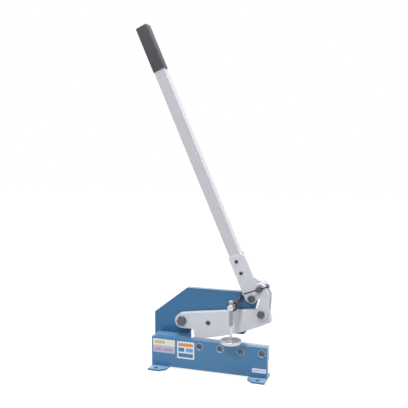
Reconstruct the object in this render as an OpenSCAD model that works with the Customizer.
// Bench lever shear: a hand lever and a link drive a pivoted blade arm down past a fixed lower blade.
// Millimetres. +X is to the operator's right, +Y away from the operator, +Z up.
// Origin: on the bench, midway between the two front bolt holes of the feet.

/* [Front plate] */
// length of the front plate, from end to end
plate_len = 304; // [280:1:330]
// height of the front plate
plate_h = 76; // [70:1:90]
// thickness of the front plate
plate_t = 16; // [12:1:20]
// from the line of the bolt holes to the front plate's front face
plate_setback = 18; // [16:1:24]

/* [Feet] */
// width of each foot along the plate
foot_w = 46; // [40:1:60]
// depth of each foot, from front to back
foot_depth = 65; // [58:1:76]
// thickness of each foot
foot_t = 5; // [4:0.5:8]
// from the line of the bolt holes to the front edge of the feet
foot_front = 10; // [8:0.5:16]
// cut-off at the inner front corner of each foot
foot_chamfer = 14.5; // [8:0.5:18]
// radius of the bolt hole in each foot
bolt_hole_r = 5; // [4:0.5:6]
// from the end of the front plate to the bolt hole
bolt_hole_inset = 19; // [15:1:25]

/* [Rear plate] */
// thickness of the rear plate
rear_t = 14; // [12:1:16]
// space between the front plate and the rear plate
rear_gap = 32; // [31.5:0.5:34]
// space between the spacer block and the lower blade
block_gap = 17.5; // [5:0.5:30]
// how far the rear plate stands out past the left end of the front plate
rear_overhang = 11.5; // [0:0.5:20]
// width of the leg of the rear plate
leg_w = 98; // [85:1:102]
// height at which the sloping corner of the rear plate starts
slope_z = 132.5; // [125:0.5:150]
// run of the sloping corner along the plate
slope_run = 91.5; // [60:0.5:110]
// height of the top edge of the rear plate
rear_top_z = 203.5; // [202:0.5:210]
// height of the throat under the rear plate
throat_z = 94; // [90:0.5:96]
// right end of the throat's flat top
throat_end_x = 80; // [70:1:84]
// lower corner of the rear plate's nose, along the plate
nose_low_x = 89; // [86:1:92]
// height of the nose's lower corner
nose_low_z = 104; // [100:1:108]
// middle corner of the nose, along the plate
nose_mid_x = 109; // [105:1:110]
// height of the nose's middle corner
nose_mid_z = 163; // [155:1:168]
// right-hand end of the nose
nose_x = 116; // [115:0.5:117]
// height at which the nose reaches its right-hand end
nose_z = 188.5; // [184:0.5:192]
// cut-off at the top corner of the nose
nose_chamfer = 7; // [5:0.5:10]
// radius inside the corner between leg and throat
throat_r = 10; // [5:1:14]

/* [Spacer block] */
// height of the block that joins the two plates
block_h = 30; // [20:1:60]

/* [Lower blade] */
// length of the lower blade
blade_len = 200; // [190:1:205]
// height of the lower blade
blade_h = 35; // [30:1:40]
// thickness of the lower blade
blade_t = 11; // [10:0.5:12]
// from the blade's right end to the nearest screw
blade_screw_inset = 13.5; // [12:0.5:20]
// from the blade's left end to the nearest screw
blade_screw_left = 26.6; // [20:0.1:30]
// number of screws in each blade
blade_screws = 4; // [4:1:4]
// depth of the screws below the blade's cutting edge
blade_screw_drop = 15; // [13:0.5:18]
// radius of the pocket for each screw head in the front plate
screw_pocket_r = 6.9; // [6.6:0.1:7.5]
// depth of that pocket
screw_pocket_depth = 9.5; // [8:0.5:10.5]
// radius of the countersink at the mouth of that pocket
countersink_r = 8.6; // [7.6:0.1:9.5]
// depth of that countersink
countersink_depth = 2.2; // [1:0.1:3]
// radius of the head of a blade screw
blade_screw_head_r = 6.3; // [6:0.1:6.5]
// height of that head
blade_screw_head_h = 6; // [4:0.5:8]
// radius of the shank of a blade screw
blade_screw_r = 4; // [3:0.5:5]
// radius of the hexagon socket in that head
blade_socket_r = 3.4; // [2.5:0.1:4]
// depth of that socket
blade_socket_depth = 3.5; // [2:0.5:4]

/* [Blade arm] */
// thickness of the arm
arm_t = 20; // [18:0.5:20]
// clearance between the two cutting faces
cutting_gap = 0.1; // [0.05:0.01:0.2]
// place of the arm's pivot along the plate
arm_pivot_x = -79; // [-84:0.5:-76]
// height of the arm's pivot
arm_pivot_z = 120.5; // [119:0.5:122]
// radius of the arm's round end
arm_eye_r = 19; // [17:0.5:19.5]
// rise of the arm's top edge in degrees
arm_rise = 7.5; // [6:0.1:9]
// height of the level stretch at the end of the arm's top edge
arm_top_z = 164.5; // [162:0.5:168]
// right end of that level stretch
arm_end_x = 150; // [146:0.5:153]
// tip of the cutting edge, along the plate
tip_x = 155; // [153:0.5:158]
// height of that tip, arm raised
tip_z = 138; // [134:0.5:142]
// heel of the cutting edge, along the plate
heel_x = -43.5; // [-46:0.5:-41]
// height of the heel, arm raised
heel_z = 77.5; // [75:0.5:80]
// how far the cutting edge bows out from a straight line
edge_bow = 9; // [6:0.5:12]
// lean of the heel's left edge towards the pivot
heel_lean = 4.5; // [2:0.5:6]
// radius in the corner between the round end and the heel
neck_r = 7.5; // [5:0.5:10]
// radius of the lug around the link bolt
lug_r = 14; // [12:0.5:15]

/* [Upper blade] */
// how far the upper blade stands out below the arm
blade_show = 1.5; // [0.5:0.5:3]
// height of the upper blade, measured across its arch
upper_h = 18; // [16:0.5:22]
// thickness of the upper blade
upper_t = 10; // [8:0.5:11]
// radius of the shank of an upper blade screw
upper_screw_r = 3; // [2.5:0.5:3.5]
// radius of its head
upper_head_r = 5; // [4.5:0.1:5.4]
// radius of the pocket that takes the head
upper_pocket_r = 5.5; // [5:0.1:6]
// depth of that pocket in the back of the arm
upper_pocket_depth = 6; // [5:0.5:7]
// steel left between the screw holes and the cutting face
upper_skin = 2; // [1.5:0.5:3]
// height of the head
upper_head_h = 5; // [4:0.5:5.5]
// radius of the hexagon socket in the head
upper_socket_r = 2.8; // [2:0.1:3]
// depth of that socket
upper_socket_depth = 2.5; // [1:0.5:3]

/* [Guide screw] */
// place of the guide screw along the plate
guide_x = -8; // [-12:0.5:0]
// height of the guide screw, arm raised
guide_z = 120.5; // [118:0.5:124]
// radius of the guide screw
guide_r = 6.8; // [6:0.1:7]
// how deep the screw sits below the arm's front face
guide_sunk = 1.5; // [0:0.5:3]
// radius of its hexagon socket
guide_socket_r = 3.4; // [2.5:0.1:4]
// depth of its hexagon socket
guide_socket_depth = 6; // [3:0.5:8]
// thickness of the brass pad behind the screw
pad_t = 4; // [3:0.5:6]
// play between the pad and the rear plate
pad_gap = 0.1; // [0.05:0.01:0.2]

/* [Arm pivot] */
// radius of the arm's pivot bolt
arm_bolt_r = 8; // [7:0.5:9]
// radius over the corners of its hexagon head
arm_bolt_head_r = 12.7; // [12:0.1:14]
// height of that head
arm_bolt_head_h = 8; // [6:0.5:10]
// radius of the thrust washer between arm and rear plate
thrust_r = 15; // [12:0.5:18]
// height of the nut
arm_nut_h = 12; // [8:0.5:14]
// radius of the washer under the nut
arm_washer_r = 15; // [13:0.5:17]
// how far the thread stands out past the nut
thread_end = 3; // [2:0.5:5]

/* [Hand lever] */
// place of the lever's pivot along the plate
lever_x = 103; // [102:0.5:104]
// height of the lever's pivot
lever_z = 190; // [189:0.5:191]
// lean of the raised lever to the left in degrees
lever_lean = 23.5; // [20:0.1:26]
// width of the lever's square tube
tube_w = 28.6; // [25:0.1:30]
// depth of the tube, and so the gap between the cheeks
tube_d = 25; // [25:0.5:27]
// wall of the tube
tube_wall = 2; // [1.5:0.5:4]
// from the pivot to the lower end of the tube
tube_start = 50; // [40:1:58]
// from the pivot to the upper end of the grip
lever_len = 746; // [600:1:900]
// thickness of each cheek
cheek_t = 6; // [5:0.5:7]
// from the pivot to the cheeks' top edge
cheek_top = 116; // [112:1:130]
// cut-off at the front cheek's top right corner
cheek_chamfer = 8; // [2:1:10]
// from the tube's middle line to the cheeks' straight sides
cheek_left = 16.3; // [15.5:0.1:18]
// from the tube's middle line to the front cheek's right edge
cheek_right = 25; // [22:0.5:27]
// height on the lever at which the right edge flares out to the link
flare_at = 52; // [48:1:58]
// radius of the cheeks' ends around the lever's pivot
cheek_end_r = 12.5; // [11:0.5:14]
// height on the lever at which a cheek reaches its full width
cheek_full_at = 4; // [2:0.5:8]
// radius of the front cheek's lobe around the link pin
lobe_r = 13; // [11:0.5:14]
// distance from the tube's middle line to the link pin
pin_out = 34.7; // [33:0.1:36]
// height of the link pin on the lever
pin_up = 18.9; // [17:0.1:21]
// from the pivot to the lower cheek bolt
cheek_bolt_low = 69; // [60:1:80]
// from the lower to the upper cheek bolt
cheek_bolt_step = 31; // [20:1:34]
// radius of a cheek bolt
cheek_bolt_r = 3; // [2.5:0.5:4]
// radius of its round head
cheek_head_r = 4.1; // [3.8:0.1:5]
// height of its head
cheek_head_h = 3; // [2:0.5:4]
// radius over the corners of its nut
cheek_nut_r = 5.8; // [5:0.1:7]
// height of its nut
cheek_nut_h = 5; // [3:0.5:6]

/* [Grip] */
// length of the grip
grip_len = 123; // [90:1:150]
// width of the grip
grip_w = 32.4; // [31:0.1:36]
// depth of the grip
grip_d = 28.6; // [28:0.1:34]
// radius of the grip's long edges
grip_r = 3; // [1:0.5:6]
// thickness of the grip's closed end
grip_end_t = 4; // [2:0.5:8]

/* [Lever pivot] */
// radius of the lever's pivot bolt
lever_bolt_r = 6; // [5:0.5:7]
// radius over the corners of its head and nut
lever_head_r = 9.8; // [9:0.1:11]
// height of its head
lever_head_h = 6; // [4:0.5:7]
// height of its nut
lever_nut_h = 9; // [6:0.5:10]
// radius of the spacers between cheeks and rear plate
spacer_r = 11; // [9:0.5:12]

/* [Links] */
// thickness of each link
link_t = 8; // [7:0.1:8.3]
// place of the link bolt in the arm, along the plate
link_bolt_x = 131.4; // [130:0.1:133]
// height of the link bolt, arm raised
link_bolt_z = 157.2; // [156:0.1:159]
// radius of a link's upper eye
upper_eye_r = 13.5; // [12:0.5:14]
// radius of a link's lower eye
lower_eye_r = 16; // [15:0.5:17]
// half the width of a link's middle stretch
shoulder_r = 11.5; // [10:0.5:13]
// middle of that stretch, along the plate
shoulder_x = 139; // [137:0.5:141]
// height of its upper end
shoulder_high_z = 204; // [200:0.5:206]
// height of its lower end
shoulder_low_z = 188; // [180:0.5:192]
// radius of the link bolt
link_bolt_r = 6; // [5:0.5:6.5]
// radius over the corners of its head and nut
link_head_r = 9.6; // [9:0.1:11]
// height of its head
link_head_h = 6.5; // [5:0.5:8]
// height of its nut
link_nut_h = 8; // [6:0.5:10]

/* [Link pin] */
// radius of the pin between lever and links
pin_r = 4; // [3.5:0.5:4.5]
// travel of the pin along the slot in the rear link
slot_run = 11; // [11:0.5:12]
// play of the pin in that slot, all round
slot_play = 1.7; // [1.7:0.1:2]
// how far the slot's middle line stands above the pin
slot_lift = 0.8; // [0.7:0.1:0.9]
// wall round the slot
slot_wall = 2.5; // [2:0.5:4]
// radius of the spacers on the pin
pin_spacer_r = 8; // [7:0.5:9]
// radius of the wide washer that keeps the pin in the slot
pin_washer_r = 15; // [13:0.5:16]
// play at the ends of the spacers
spacer_play = 0.4; // [0.3:0.05:0.6]
// radius over the corners of the pin's nut
pin_nut_r = 7.5; // [7:0.1:10]
// height of the pin's nut
pin_nut_h = 6.5; // [5:0.5:8]

/* [Locking screw] */
// radius of the locking screw's head
lock_head_r = 7.6; // [7:0.1:8.5]
// length of the head
lock_head_h = 13; // [10:0.5:15]
// radius of its shank in the front link
lock_shank_r = 4; // [3:0.5:5]
// from the link's face to the middle of the cross hole
tommy_out = 7; // [6:0.5:8]
// radius of the tommy bar
tommy_r = 1.5; // [1.2:0.1:2]
// length of the tommy bar, without its knobs
tommy_len = 61; // [50:1:70]
// how far the bar's middle stands to the left of the screw
tommy_shift = 7.2; // [0:0.1:12]
// tilt of the tommy bar in degrees
tommy_tilt = 20.3; // [0:0.1:45]
// radius of the knobs on its ends
tommy_knob_r = 2.3; // [2:0.1:3]

/* [Hold-down] */
// place of the hold-down rod along the plate
rod_x = 73; // [70:0.5:74]
// height of the rod
rod_z = 186; // [184:0.5:187]
// radius of the rod's thick front stretch
rod_r = 7.6; // [7:0.1:8]
// from the rod's front end to the rear plate
rod_reach = 100; // [80:1:110]
// height of the dome on its front end
rod_dome = 2.5; // [1:0.5:4]
// length of the thick front stretch
rod_head_len = 40; // [37:1:44]
// radius of the rod's thin rear stretch
stem_r = 4.5; // [4:0.1:5]
// from the rod's front end to the spindle
spindle_in = 8; // [7:0.5:10]
// radius of the collar nut
collar_r = 12.4; // [11:0.1:13]
// length of the collar nut
collar_len = 21; // [15:0.5:22]
// from the rod's front end to the collar nut
collar_at = 17; // [15:0.5:18]
// number of grooves around the collar nut
collar_grooves = 24; // [12:1:36]
// radius of those grooves
collar_groove_r = 0.9; // [0.5:0.1:1.2]
// radius of the spring washers
spring_washer_r = 9; // [8:0.1:9.5]
// thickness of the washers behind the nuts and beside the spring
washer_t = 1.5; // [1:0.5:2]
// middle radius of the spring
spring_r = 6.6; // [6:0.1:7]
// radius of the spring's wire
spring_wire_r = 0.9; // [0.6:0.1:1.1]
// number of the spring's curls
spring_curls = 7; // [5:1:9]
// radius over the corners of the rod's rear nut
rod_nut_r = 8.7; // [8:0.1:10]
// height of that nut
rod_nut_h = 8; // [6:0.5:10]

/* [Hold-down spindle] */
// radius of the spindle's thread
spindle_r = 5; // [4.5:0.1:5.5]
// radius of the spindle's plain lower stretch
spindle_low_r = 3.5; // [3:0.1:4]
// height of the spindle's top end
spindle_top_z = 202.5; // [198:0.5:206]
// height at which the thread ends
spindle_thread_z = 142; // [138:0.5:146]
// height of the foot's underside above the bench
foot_disc_z = 99.5; // [98:0.5:104]
// radius of the round foot
disc_r = 25.5; // [22:0.5:27]
// thickness of the round foot
disc_t = 8; // [6:0.5:10]
// radius of the round foot's edges
disc_edge_r = 1.5; // [0.5:0.5:2.5]
// depth of the spindle's seat in the foot
disc_seat = 4; // [3:0.5:5]

/* [Hidden] */
$fn = 64;

// sides of the large circles that the blades' arches are cut from
arch_facets = 720;
// sides of the round foot
disc_facets = 96;
// sides of the shallow dome on the rod's front end
dome_facets = 128;
// play of a shaft that turns in its bore
running = 0.05;
// play between faces that slide past each other
face_gap = 0.3;
// how far a cut runs past the face it opens
overrun = 1;
// share of a circle's radius at which the straight sides that leave it begin
belt_share = 0.998;

blue = [0.25, 0.45, 0.62];
silver = [0.78, 0.79, 0.81];
steel = [0.66, 0.67, 0.68];
dark = [0.36, 0.37, 0.40];
grip_grey = [0.33, 0.35, 0.38];
brass = [0.75, 0.62, 0.32];

left_x = -plate_len / 2;
right_x = plate_len / 2;
table_z = foot_t + plate_h;
front_y = plate_setback;
blade_y = front_y + plate_t;
cut_y = blade_y + blade_t;
rear_y = blade_y + rear_gap;
rear_back_y = rear_y + rear_t;
arm_y = cut_y + cutting_gap;
arm_back_y = arm_y + arm_t;

rear_left_x = left_x - rear_overhang;
leg_right_x = rear_left_x + leg_w;
blade_left_x = right_x - blade_len;
blade_screw_pitch = (blade_len - blade_screw_inset - blade_screw_left) / (blade_screws - 1);

// The cutting edge is a stretch of one large circle through heel and tip.
edge_run = [tip_x - heel_x, tip_z - heel_z];
edge_len = norm(edge_run);
edge_angle = atan2(edge_run[1], edge_run[0]);
edge_r = edge_len * edge_len / (8 * edge_bow) + edge_bow / 2;
edge_mid = [heel_x + tip_x, heel_z + tip_z] / 2;
edge_centre = edge_mid + (edge_r - edge_bow) * [-sin(edge_angle), cos(edge_angle)];

arm_pivot = [arm_pivot_x, arm_pivot_z];
arm_corner_x = arm_pivot_x - arm_eye_r * sin(arm_rise);
arm_corner_z = arm_pivot_z + arm_eye_r * cos(arm_rise);
arm_level_x = arm_corner_x + (arm_top_z - arm_corner_z) / tan(arm_rise);
neck_z = arm_pivot_z - arm_eye_r;

lever_pivot = [lever_x, lever_z];
link_bolt_at = [link_bolt_x, link_bolt_z];
link_pin_at = lever_pivot + [pin_out * cos(lever_lean) - pin_up * sin(lever_lean),
                             pin_out * sin(lever_lean) + pin_up * cos(lever_lean)];

// The lever's fork stands astride the middle of the rear plate.
lever_y = rear_y + rear_t / 2;
front_cheek_y = lever_y - tube_d / 2 - cheek_t;
fork_y = front_cheek_y + cheek_t;
fork_back_y = fork_y + tube_d;
rear_cheek_back_y = fork_back_y + cheek_t;

// The links stand astride the arm.
front_link_y = arm_y - face_gap - link_t;
rear_link_y = arm_back_y + face_gap;
front_link_back_y = front_link_y + link_t;
rear_link_back_y = rear_link_y + link_t;

rod_front_y = rear_y - rod_reach;
spindle_y = rod_front_y + spindle_in;
rod_step_y = rod_front_y + rod_head_len;
spindle_len = spindle_top_z - spindle_thread_z;
disc_top_z = foot_disc_z + disc_t;

spring_start_y = rod_step_y + washer_t;
spring_end_y = rear_y - washer_t;

// a flat shape drawn in x and z, made into a plate from y to y + t
module slab(y, t) {
    translate([0, y + t, 0])
        rotate([90, 0, 0])
            linear_extrude(t)
                children();
}

// a round bar along y, from y to y + len, at the place p in x and z
module shaft(p, y, len, r) {
    translate([p[0], y + len, p[1]])
        rotate([90, 0, 0])
            cylinder(h = len, r = r);
}

// a cone along y from y to y + len, with the radius front_r at its front and back_r at its back
module cone(y, len, front_r, back_r) {
    translate([0, y + len, 0])
        rotate([90, 0, 0])
            cylinder(h = len, r1 = back_r, r2 = front_r);
}

// a hexagonal bar along y
module hexagon(p, y, len, r) {
    translate([p[0], y + len, p[1]])
        rotate([90, 0, 0])
            cylinder(h = len, r = r, $fn = 6);
}

// a washer, spacer or bush along y
module ring(p, y, len, r, bore) {
    difference() {
        shaft(p, y, len, r);
        shaft(p, y - overrun, len + 2 * overrun, bore);
    }
}

// a hexagon nut along y
module nut(p, y, len, r, bore) {
    difference() {
        hexagon(p, y, len, r);
        shaft(p, y - overrun, len + 2 * overrun, bore);
    }
}

function unit(v) = v / norm(v);
function turned(v, a) = [v[0] * cos(a) - v[1] * sin(a), v[0] * sin(a) + v[1] * cos(a)];

// The straight sides that touch two circles, as the four points where they end. They end just inside the
// circles, so that each side crosses its circle instead of only touching it.
function belt(a, ra, b, rb) =
    let (d = unit(b - a), ea = ra * belt_share, eb = rb * belt_share, k = acos((ea - eb) / norm(b - a)))
    [a + ea * turned(d, k), b + eb * turned(d, k), b + eb * turned(d, -k), a + ea * turned(d, -k)];

// a flat bar from y to y + t, with a round end about each of two points
module bar(a, ra, b, rb, y, t) {
    shaft(a, y, t, ra);
    shaft(b, y, t, rb);
    slab(y, t) polygon(belt(a, ra, b, rb));
}

// the round filling of an inside corner at c, whose sides run towards a and b
module fillet(c, a, b, r) {
    da = unit(a - c);
    db = unit(b - c);
    half = acos(da * db) / 2;
    reach = r / tan(half);
    difference() {
        polygon([c, c + reach * da, c + reach * db]);
        translate(c + r / sin(half) * unit(da + db)) circle(r = r);
    }
}

// repeats its children at each blade screw of the lower blade
module at_blade_screws() {
    for (i = [0 : blade_screws - 1])
        translate([right_x - blade_screw_inset - i * blade_screw_pitch, 0, table_z - blade_screw_drop])
            children();
}

module front_plate() {
    flare = (countersink_r - screw_pocket_r) / countersink_depth;
    color(blue)
        difference() {
            slab(front_y, plate_t)
                translate([left_x, foot_t]) square([plate_len, plate_h]);
            at_blade_screws() {
                shaft([0, 0], front_y - overrun, plate_t + 2 * overrun, blade_screw_r);
                shaft([0, 0], front_y - overrun, screw_pocket_depth + overrun, screw_pocket_r);
                cone(front_y - overrun, countersink_depth + overrun, countersink_r + overrun * flare,
                     screw_pocket_r);
            }
        }
}

module rear_plate() {
    inner = [leg_right_x, throat_z];
    color(blue)
        difference() {
            slab(rear_y, rear_t) {
                polygon([
                    [rear_left_x, 0], [leg_right_x, 0], inner,
                    [throat_end_x, throat_z], [nose_low_x, nose_low_z], [nose_mid_x, nose_mid_z],
                    [nose_x, nose_z], [nose_x, rear_top_z - nose_chamfer],
                    [nose_x - nose_chamfer, rear_top_z], [rear_left_x + slope_run, rear_top_z],
                    [rear_left_x, slope_z]]);
                fillet(inner, [leg_right_x, 0], [throat_end_x, throat_z], throat_r);
            }
            shaft(arm_pivot, rear_y - overrun, rear_t + 2 * overrun, arm_bolt_r);
            shaft(lever_pivot, rear_y - overrun, rear_t + 2 * overrun, lever_bolt_r);
            shaft([rod_x, rod_z], rear_y - overrun, rear_t + 2 * overrun, stem_r + running);
        }
}

module spacer_block() {
    color(blue)
        slab(blade_y, rear_gap)
            translate([left_x, table_z - block_h])
                square([blade_left_x - block_gap - left_x, block_h]);
}

// one foot seen from above, its outer side at x = 0 and its inner side towards +x
module foot() {
    difference() {
        linear_extrude(foot_t)
            polygon([
                [0, -foot_front], [foot_w - foot_chamfer, -foot_front], [foot_w, foot_chamfer - foot_front],
                [foot_w, foot_depth - foot_front], [0, foot_depth - foot_front]]);
        translate([bolt_hole_inset, 0, -overrun])
            cylinder(h = foot_t + 2 * overrun, r = bolt_hole_r);
    }
}

module left_foot() {
    color(blue) translate([left_x, 0, 0]) foot();
}

module right_foot() {
    color(blue) translate([right_x, 0, 0]) mirror([1, 0, 0]) foot();
}

module lower_blade() {
    color(steel)
        difference() {
            slab(blade_y, blade_t)
                translate([blade_left_x, table_z - blade_h]) square([blade_len, blade_h]);
            at_blade_screws()
                shaft([0, 0], blade_y - overrun, blade_t + 2 * overrun, blade_screw_r);
        }
}

module lower_blade_screws() {
    seat_y = front_y + screw_pocket_depth;
    head_y = seat_y - blade_screw_head_h;
    color(dark)
        at_blade_screws()
            difference() {
                union() {
                    shaft([0, 0], head_y, blade_screw_head_h, blade_screw_head_r);
                    shaft([0, 0], seat_y, cut_y - seat_y - face_gap, blade_screw_r);
                }
                hexagon([0, 0], head_y - overrun, blade_socket_depth + overrun, blade_socket_r);
            }
}

// the arm as one flat piece from y to y + t: a round end about the pivot, a rising back, a bowed lower edge
module arm_blank(y, t) {
    heel = [heel_x, heel_z];
    neck = [heel_x - heel_lean, neck_z];
    low_z = heel_z - edge_bow;
    intersection() {
        slab(y, t) {
            polygon([
                [arm_corner_x, arm_corner_z], [arm_level_x, arm_top_z], [arm_end_x, arm_top_z],
                [tip_x, tip_z], [tip_x, low_z], [heel_x, low_z], heel, neck, [arm_pivot_x, neck_z]]);
            fillet(neck, [arm_pivot_x, neck_z], heel, neck_r);
        }
        shaft(edge_centre, y, t, edge_r - blade_show, $fn = arch_facets);
    }
    shaft(arm_pivot, y, t, arm_eye_r);
    shaft(link_bolt_at, y, t, lug_r);
}

// the upper blade, or the seat for it, from y to y + t: an arched strip between heel and tip
module blade_strip(y, t) {
    low_z = heel_z - edge_bow;
    difference() {
        intersection() {
            slab(y, t)
                polygon([
                    [heel_x, low_z], [tip_x, low_z], [tip_x, tip_z], [arm_end_x, arm_top_z],
                    [heel_x - heel_lean, neck_z], [heel_x, heel_z]]);
            shaft(edge_centre, y, t, edge_r, $fn = arch_facets);
        }
        shaft(edge_centre, y - overrun, t + 2 * overrun, edge_r - upper_h, $fn = arch_facets);
    }
}

// repeats its children at each upper blade screw, halfway up the blade
module at_upper_screws() {
    row_r = edge_r - upper_h / 2;
    step = blade_screw_pitch / row_r * 180 / PI;
    for (i = [0 : blade_screws - 1]) {
        a = edge_angle - 90 + (i - (blade_screws - 1) / 2) * step;
        at = edge_centre + row_r * [cos(a), sin(a)];
        translate([at[0], 0, at[1]]) children();
    }
}

module blade_arm() {
    color(silver)
        difference() {
            arm_blank(arm_y, arm_t);
            blade_strip(arm_y - overrun, upper_t + overrun);
            shaft(arm_pivot, arm_y - overrun, arm_t + 2 * overrun, arm_bolt_r + running);
            shaft(link_bolt_at, arm_y - overrun, arm_t + 2 * overrun, link_bolt_r + running);
            shaft([guide_x, guide_z], arm_y - overrun, arm_t + 2 * overrun, guide_r);
            at_upper_screws() {
                shaft([0, 0], arm_y, arm_t + overrun, upper_screw_r);
                shaft([0, 0], arm_back_y - upper_pocket_depth, upper_pocket_depth + overrun, upper_pocket_r);
            }
        }
}

module upper_blade() {
    color(silver)
        difference() {
            blade_strip(arm_y, upper_t);
            at_upper_screws()
                shaft([0, 0], arm_y + upper_skin, upper_t + overrun, upper_screw_r);
        }
}

module upper_blade_screws() {
    seat_y = arm_back_y - upper_pocket_depth;
    screw_end_y = arm_y + upper_skin + face_gap;
    color(dark)
        at_upper_screws()
            difference() {
                union() {
                    shaft([0, 0], screw_end_y, seat_y - screw_end_y, upper_screw_r);
                    shaft([0, 0], seat_y, upper_head_h, upper_head_r);
                }
                hexagon([0, 0], seat_y + upper_head_h - upper_socket_depth, upper_socket_depth + overrun,
                        upper_socket_r);
            }
}

module guide_screw() {
    at = [guide_x, guide_z];
    color(dark)
        difference() {
            shaft(at, arm_y + guide_sunk, rear_y - pad_gap - pad_t - arm_y - guide_sunk, guide_r);
            hexagon(at, arm_y + guide_sunk - overrun, guide_socket_depth + overrun, guide_socket_r);
        }
}

module guide_pad() {
    color(brass)
        shaft([guide_x, guide_z], rear_y - pad_gap - pad_t, pad_t, guide_r);
}

module arm_pivot_bolt() {
    head_y = arm_y - face_gap - arm_bolt_head_h;
    shank_y = head_y + arm_bolt_head_h;
    end_y = rear_back_y + washer_t + arm_nut_h + thread_end;
    color(dark) {
        hexagon(arm_pivot, head_y, arm_bolt_head_h, arm_bolt_head_r);
        shaft(arm_pivot, shank_y, end_y - shank_y, arm_bolt_r);
    }
}

module arm_pivot_washers() {
    play = rear_y - arm_back_y;
    color(steel) {
        ring(arm_pivot, rear_y - play + face_gap, play - face_gap, thrust_r, arm_bolt_r);
        ring(arm_pivot, rear_back_y, washer_t, arm_washer_r, arm_bolt_r);
    }
}

module arm_pivot_nut() {
    color(steel)
        nut(arm_pivot, rear_back_y + washer_t, arm_nut_h, arm_bolt_head_r, arm_bolt_r);
}

// a link from y to y + link_t: two eyes and a middle stretch bowed to the right
module link_blank(y) {
    high = [shoulder_x, shoulder_high_z];
    low = [shoulder_x, shoulder_low_z];
    bar(link_pin_at, upper_eye_r, high, shoulder_r, y, link_t);
    bar(high, shoulder_r, low, shoulder_r, y, link_t);
    bar(low, shoulder_r, link_bolt_at, lower_eye_r, y, link_t);
}

module front_link() {
    color(silver)
        difference() {
            link_blank(front_link_y);
            shaft(link_pin_at, front_link_y - overrun, link_t + 2 * overrun, lock_shank_r + running);
            shaft(link_bolt_at, front_link_y - overrun, link_t + 2 * overrun, link_bolt_r);
        }
}

// The rear link has a slot, so that the lever's pin stays clear of it over the whole stroke.
module rear_link() {
    room_r = pin_r + slot_play;
    from = link_pin_at + [0, slot_lift];
    to = from + [slot_run, 0];
    color(silver)
        difference() {
            union() {
                link_blank(rear_link_y);
                bar(from, room_r + slot_wall, to, room_r + slot_wall, rear_link_y, link_t);
            }
            bar(from, room_r, to, room_r, rear_link_y - overrun, link_t + 2 * overrun);
            shaft(link_bolt_at, rear_link_y - overrun, link_t + 2 * overrun, link_bolt_r);
        }
}

module link_bolt() {
    end_y = rear_link_back_y + link_nut_h + thread_end;
    color(dark) {
        hexagon(link_bolt_at, front_link_y - link_head_h, link_head_h, link_head_r);
        shaft(link_bolt_at, front_link_y, end_y - front_link_y, link_bolt_r);
    }
}

module link_nut() {
    color(steel)
        nut(link_bolt_at, rear_link_back_y, link_nut_h, link_head_r, link_bolt_r);
}

// puts its children into the lever's own frame: x across the tube, z up along it, the pivot at zero
module on_lever() {
    translate([lever_x, 0, lever_z])
        rotate([0, -lever_lean, 0])
            children();
}

module at_cheek_bolts() {
    for (i = [0, 1])
        on_lever()
            translate([0, 0, cheek_bolt_low + i * cheek_bolt_step])
                children();
}

// the holes that both cheeks have, cut from y to y + cheek_t
module cheek_holes(y) {
    shaft(lever_pivot, y - overrun, cheek_t + 2 * overrun, lever_bolt_r + running);
    at_cheek_bolts()
        shaft([0, 0], y - overrun, cheek_t + 2 * overrun, cheek_bolt_r);
}

// the point where a line from p touches the cheeks' round end, on its lower side
function cheek_touch(p) = belt([0, 0], cheek_end_r, p, 0)[p[0] < 0 ? 0 : 3];

// The front cheek runs between the two links and carries the link pin in a lobe.
module front_cheek() {
    y = front_cheek_y;
    pin = [pin_out, pin_up];
    left = [-cheek_left, cheek_full_at];
    side = [cheek_right, flare_at];
    flare = belt(pin, lobe_r, side, 0)[3];
    color(silver)
        difference() {
            on_lever() {
                bar([0, 0], cheek_end_r, pin, lobe_r, y, cheek_t);
                slab(y, cheek_t)
                    polygon([
                        left, cheek_touch(left), [0, 0], pin, flare, side,
                        [cheek_right, cheek_top - cheek_chamfer], [cheek_right - cheek_chamfer, cheek_top],
                        [-cheek_left, cheek_top]]);
            }
            cheek_holes(y);
            shaft(link_pin_at, y - overrun, cheek_t + 2 * overrun, pin_r);
        }
}

module rear_cheek() {
    y = fork_back_y;
    left = [-cheek_left, cheek_full_at];
    right = [cheek_left, cheek_full_at];
    color(silver)
        difference() {
            on_lever() {
                shaft([0, 0], y, cheek_t, cheek_end_r);
                slab(y, cheek_t)
                    polygon([
                        left, cheek_touch(left), [0, 0], cheek_touch(right), right,
                        [cheek_left, cheek_top], [-cheek_left, cheek_top]]);
            }
            cheek_holes(y);
        }
}

module lever_tube() {
    tube_len = lever_len - grip_end_t - tube_start;
    inner_w = tube_w - 2 * tube_wall;
    inner_d = tube_d - 2 * tube_wall;
    color(silver)
        difference() {
            on_lever()
                translate([0, lever_y, tube_start])
                    linear_extrude(tube_len)
                        difference() {
                            square([tube_w, tube_d], center = true);
                            square([inner_w, inner_d], center = true);
                        }
            at_cheek_bolts()
                shaft([0, 0], fork_y - overrun, tube_d + 2 * overrun, cheek_bolt_r);
        }
}

// a rectangle with round corners
module round_rect(w, d, r) {
    square([w - 2 * r, d], center = true);
    square([w, d - 2 * r], center = true);
    for (sx = [-1, 1], sy = [-1, 1])
        translate([sx * (w / 2 - r), sy * (d / 2 - r)]) circle(r = r);
}

module lever_grip() {
    color(grip_grey)
        on_lever()
            translate([0, lever_y, lever_len - grip_len])
                difference() {
                    linear_extrude(grip_len)
                        round_rect(grip_w, grip_d, grip_r);
                    translate([0, 0, -overrun])
                        linear_extrude(grip_len - grip_end_t + overrun)
                            square([tube_w, tube_d], center = true);
                }
}

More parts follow.
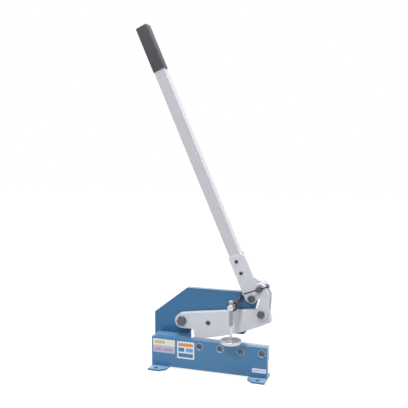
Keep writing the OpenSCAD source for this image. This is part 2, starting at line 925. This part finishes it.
module cheek_bolts() {
    end_y = rear_cheek_back_y + cheek_nut_h + thread_end;
    color(dark)
        at_cheek_bolts() {
            shaft([0, 0], front_cheek_y - cheek_head_h, cheek_head_h, cheek_head_r);
            shaft([0, 0], front_cheek_y, end_y - front_cheek_y, cheek_bolt_r);
        }
}

module cheek_nuts() {
    color(steel)
        at_cheek_bolts()
            nut([0, 0], rear_cheek_back_y, cheek_nut_h, cheek_nut_r, cheek_bolt_r);
}

module lever_pivot_bolt() {
    seat_y = front_cheek_y - face_gap;
    end_y = rear_cheek_back_y + face_gap + lever_nut_h + thread_end;
    color(dark) {
        hexagon(lever_pivot, seat_y - lever_head_h, lever_head_h, lever_head_r);
        shaft(lever_pivot, seat_y, end_y - seat_y, lever_bolt_r);
    }
}

module lever_pivot_spacers() {
    color(steel) {
        ring(lever_pivot, fork_y + face_gap, rear_y - fork_y - face_gap, spacer_r, lever_bolt_r);
        ring(lever_pivot, rear_back_y, fork_back_y - rear_back_y - face_gap, spacer_r, lever_bolt_r);
    }
}

module lever_pivot_nut() {
    color(steel)
        nut(lever_pivot, rear_cheek_back_y + face_gap, lever_nut_h, lever_head_r, lever_bolt_r);
}

// The pin sits in the front cheek's lobe and reaches through the rear link's slot.
module link_pin() {
    tip_y = front_link_back_y + spacer_play;
    end_y = rear_link_back_y + spacer_play + washer_t + pin_nut_h + thread_end;
    color(steel)
        shaft(link_pin_at, tip_y, end_y - tip_y, pin_r);
}

module link_pin_spacers() {
    color(steel) {
        ring(link_pin_at, front_link_back_y + spacer_play, front_cheek_y - front_link_back_y - spacer_play,
             pin_spacer_r, pin_r);
        ring(link_pin_at, fork_y, rear_link_y - spacer_play - fork_y, pin_spacer_r, pin_r);
        ring(link_pin_at, rear_link_back_y + spacer_play, washer_t, pin_washer_r, pin_r);
    }
}

module link_pin_nut() {
    color(steel)
        nut(link_pin_at, rear_link_back_y + spacer_play + washer_t, pin_nut_h, pin_nut_r, pin_r);
}

// puts its children into the tommy bar's own frame: x along the bar, the screw's middle line at zero
module on_tommy() {
    translate([link_pin_at[0], front_link_y - tommy_out, link_pin_at[1]])
        rotate([0, -tommy_tilt, 0])
            children();
}

module locking_screw() {
    color(dark)
        difference() {
            union() {
                shaft(link_pin_at, front_link_y - lock_head_h, lock_head_h, lock_head_r);
                shaft(link_pin_at, front_link_y, link_t, lock_shank_r);
            }
            on_tommy()
                translate([-lock_head_r - overrun, 0, 0])
                    rotate([0, 90, 0])
                        cylinder(h = 2 * (lock_head_r + overrun), r = tommy_r + running);
        }
}

module tommy_bar() {
    color(dark)
        on_tommy()
            translate([-tommy_shift - tommy_len / 2, 0, 0]) {
                rotate([0, 90, 0])
                    cylinder(h = tommy_len, r = tommy_r);
                for (end = [0, tommy_len])
                    translate([end, 0, 0]) sphere(r = tommy_knob_r);
            }
}

module hold_down_rod() {
    at = [rod_x, rod_z];
    dome_r = (rod_r * rod_r + rod_dome * rod_dome) / (2 * rod_dome);
    end_y = rear_back_y + washer_t + rod_nut_h + thread_end;
    color(steel)
        difference() {
            union() {
                intersection() {
                    shaft(at, rod_front_y, rod_head_len, rod_r);
                    translate([rod_x, rod_front_y + dome_r, rod_z]) sphere(r = dome_r, $fn = dome_facets);
                }
                shaft(at, rod_front_y + rod_dome, rod_head_len - rod_dome, rod_r);
                shaft(at, rod_step_y, end_y - rod_step_y, stem_r);
            }
            translate([rod_x, spindle_y, rod_z - rod_r - overrun])
                cylinder(h = 2 * (rod_r + overrun), r = spindle_r + running);
        }
}

module hold_down_collar() {
    at = [rod_x, rod_z];
    collar_y = rod_front_y + collar_at;
    color(dark)
        difference() {
            ring(at, collar_y, collar_len, collar_r, rod_r + running);
            for (i = [0 : collar_grooves - 1]) {
                a = i * 360 / collar_grooves;
                groove_at = at + collar_r * [cos(a), sin(a)];
                shaft(groove_at, collar_y - overrun, collar_len + 2 * overrun, collar_groove_r);
            }
        }
}

module hold_down_washers() {
    at = [rod_x, rod_z];
    color(dark) {
        ring(at, rod_step_y, washer_t, spring_washer_r, stem_r);
        ring(at, rear_y - washer_t, washer_t, spring_washer_r, stem_r);
        ring(at, rear_back_y, washer_t, spring_washer_r, stem_r);
    }
}

// The spring is one unbroken wire: rings of points follow the curl, each joined to the next.
spring_curl_rings = 8;
spring_sides = 6;
spring_run = spring_end_y - spring_start_y - 2 * spring_wire_r;
spring_rings = spring_curls * spring_curl_rings;
spring_slant = atan2(spring_run / spring_curls, 2 * PI * spring_r);

function spring_ring(i) =
    let (a = 360 * i / spring_curl_rings,
         out = [cos(a), 0, sin(a)],
         along = [-sin(a) * cos(spring_slant), sin(spring_slant), cos(a) * cos(spring_slant)],
         side = cross(out, along),
         middle = spring_r * out + [0, i * spring_run / spring_rings, 0])
    [for (k = [0 : spring_sides - 1])
        let (b = 360 * k / spring_sides)
        middle + spring_wire_r * (cos(b) * out + sin(b) * side)];

// the least distance from points of one curl to points of the next
function spring_gap(rings) =
    min([for (i = [0 : spring_rings - spring_curl_rings - 1], near = [-1, 0, 1])
        for (p = rings[i], q = rings[i + spring_curl_rings + near])
            norm(p - q)]);

module hold_down_spring() {
    rings = [for (i = [0 : spring_rings]) spring_ring(i)];
    points = [for (r = rings, p = r) p];
    last = spring_rings * spring_sides;
    skin = [for (i = [0 : spring_rings - 1], k = [0 : spring_sides - 1])
        let (a = i * spring_sides, b = a + spring_sides, n = (k + 1) % spring_sides)
        each [[a + k, b + k, b + n], [a + k, b + n, a + n]]];
    start = [for (k = [1 : spring_sides - 2]) [0, k, k + 1]];
    end = [for (k = [1 : spring_sides - 2]) [last, last + k + 1, last + k]];
    echo(spring_gap = spring_gap(rings));
    color(dark)
        translate([rod_x, spring_start_y + spring_wire_r, rod_z])
            polyhedron(points, concat(skin, start, end));
}

module hold_down_nut() {
    color(steel)
        nut([rod_x, rod_z], rear_back_y + washer_t, rod_nut_h, rod_nut_r, stem_r);
}

module hold_down_spindle() {
    low_z = disc_top_z - disc_seat + face_gap;
    color(steel)
        translate([rod_x, spindle_y, 0]) {
            translate([0, 0, spindle_thread_z]) cylinder(h = spindle_len, r = spindle_r);
            translate([0, 0, low_z]) cylinder(h = spindle_thread_z - low_z, r = spindle_low_r);
        }
}

module hold_down_foot() {
    color(dark)
        translate([rod_x, spindle_y, foot_disc_z])
            difference() {
                rotate_extrude($fn = disc_facets)
                    intersection() {
                        translate([0, disc_t / 2]) round_rect(2 * disc_r, disc_t, disc_edge_r);
                        square([disc_r, disc_t]);
                    }
                translate([0, 0, disc_t - disc_seat])
                    cylinder(h = disc_seat + overrun, r = spindle_low_r + running);
            }
}

front_plate();
rear_plate();
spacer_block();
left_foot();
right_foot();
lower_blade();
lower_blade_screws();
blade_arm();
upper_blade();
upper_blade_screws();
guide_screw();
guide_pad();
arm_pivot_bolt();
arm_pivot_washers();
arm_pivot_nut();
front_link();
rear_link();
link_bolt();
link_nut();
front_cheek();
rear_cheek();
lever_tube();
lever_grip();
cheek_bolts();
cheek_nuts();
lever_pivot_bolt();
lever_pivot_spacers();
lever_pivot_nut();
link_pin();
link_pin_spacers();
link_pin_nut();
locking_screw();
tommy_bar();
hold_down_rod();
hold_down_collar();
hold_down_washers();
hold_down_spring();
hold_down_nut();
hold_down_spindle();
hold_down_foot();
